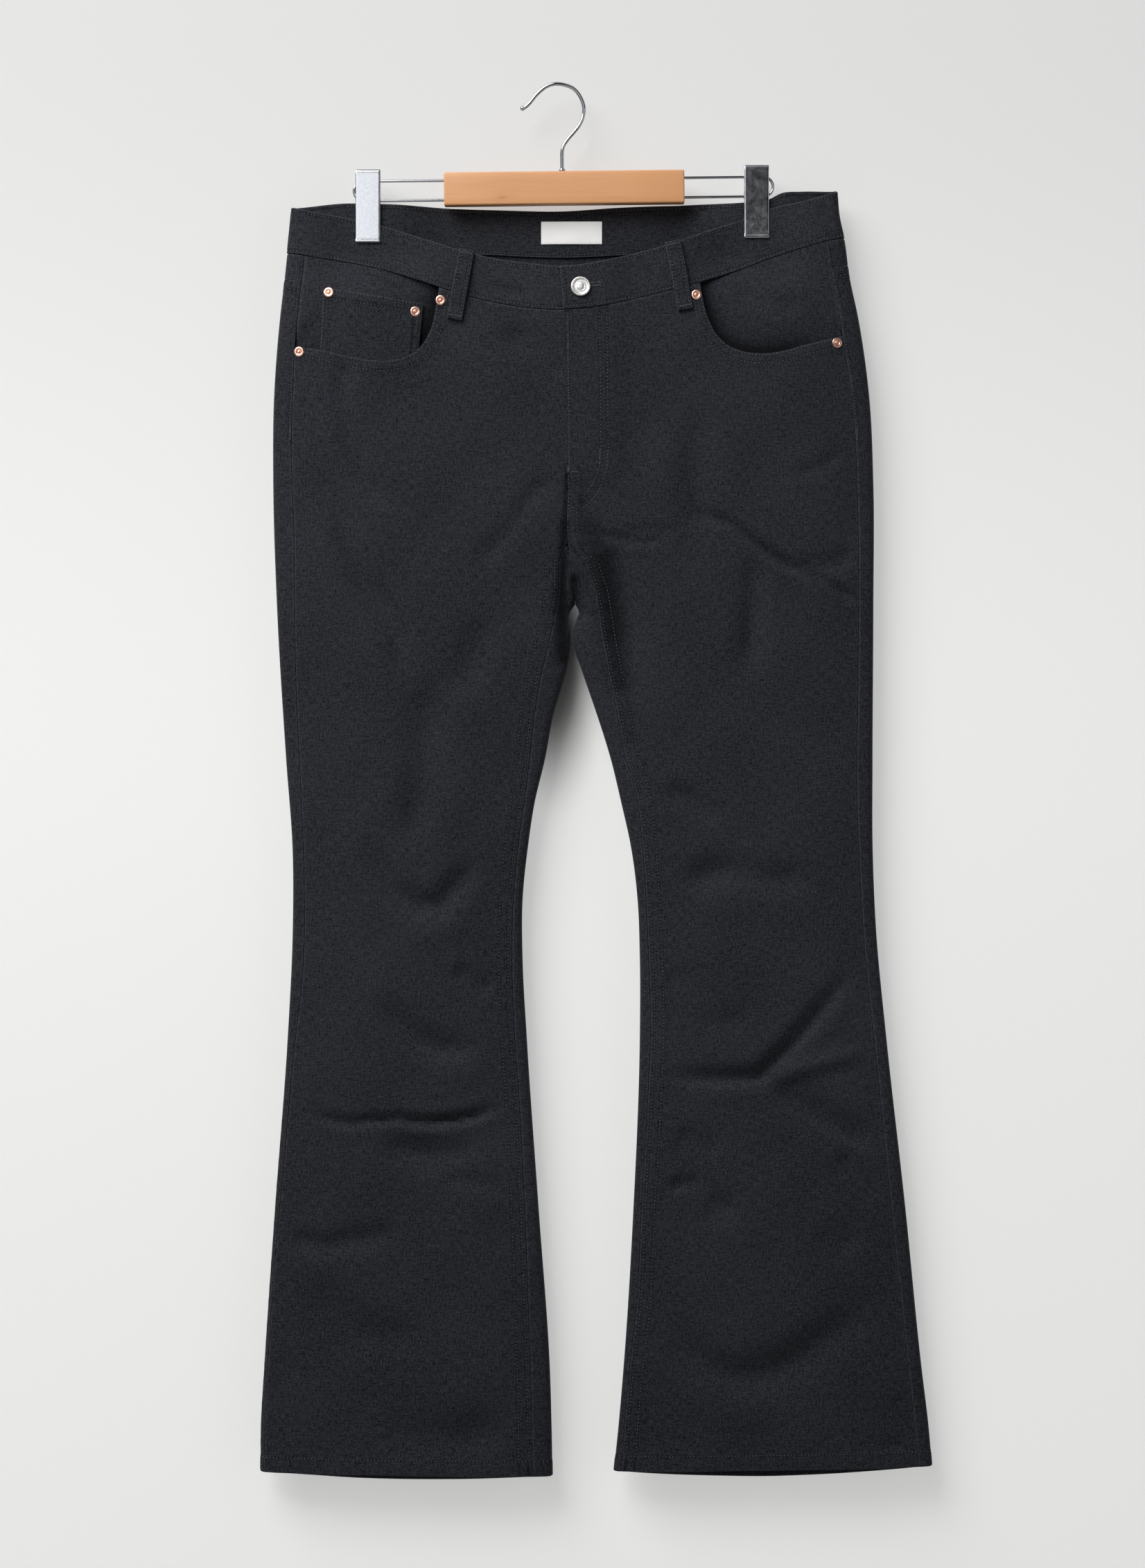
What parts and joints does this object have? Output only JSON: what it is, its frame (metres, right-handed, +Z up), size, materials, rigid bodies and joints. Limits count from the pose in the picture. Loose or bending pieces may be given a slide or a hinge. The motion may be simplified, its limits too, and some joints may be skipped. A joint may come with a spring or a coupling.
{
  "type": "bootcut jeans on a clip hanger",
  "caption": "Dark charcoal bootcut denim jeans with a low curved waist and flared hems, hung flat by the waistband from a hanger with a wooden bar and sprung clips.",
  "frame": {"origin": "the inside of the hook's bend, where a rail carries the hanger", "axes": "+Z up, +X to the wearer's left, which is the viewer's right from the front, and the front of the jeans faces -Y"},
  "size_m": [0.5818, 0.0415, 1.2124],
  "materials": {
    "denim": "washed charcoal stretch denim, matte twill with a faint sheen",
    "label_cloth": "bare white woven label, smooth",
    "nickel": "nickel-plated jeans button, softly polished",
    "copper": "rose copper rivets, polished",
    "chrome": "bright chrome plate",
    "wood": "clear-lacquered light wood"
  },
  "bodies": {
    "root": {"front_panel_right": "denim", "front_panel_left": "denim", "back_panel_right": "denim", "back_panel_left": "denim", "yoke_right": "denim", "yoke_left": "denim", "waistband": "denim", "pocket_facing_right": "denim", "pocket_facing_left": "denim", "coin_pocket": "denim", "back_pocket_right": "denim", "back_pocket_left": "denim", "belt_loop_front_right": "denim", "belt_loop_front_left": "denim", "belt_loop_back_right": "denim", "belt_loop_centre_back": "denim", "belt_loop_back_left": "denim", "label": "label_cloth", "button": "nickel", "rivet_1": "copper", "rivet_2": "copper", "rivet_3": "copper", "rivet_4": "copper", "rivet_5": "copper", "rivet_6": "copper", "hanger_bar": "wood", "hanger_hook": "chrome", "hanger_wire_right": "chrome", "hanger_wire_left": "chrome", "clip_right_front": "chrome", "clip_right_back": "chrome", "clip_right_pin": "chrome", "clip_left_front": "chrome", "clip_left_back": "chrome", "clip_left_pin": "chrome"}
  },
  "joints": []
}
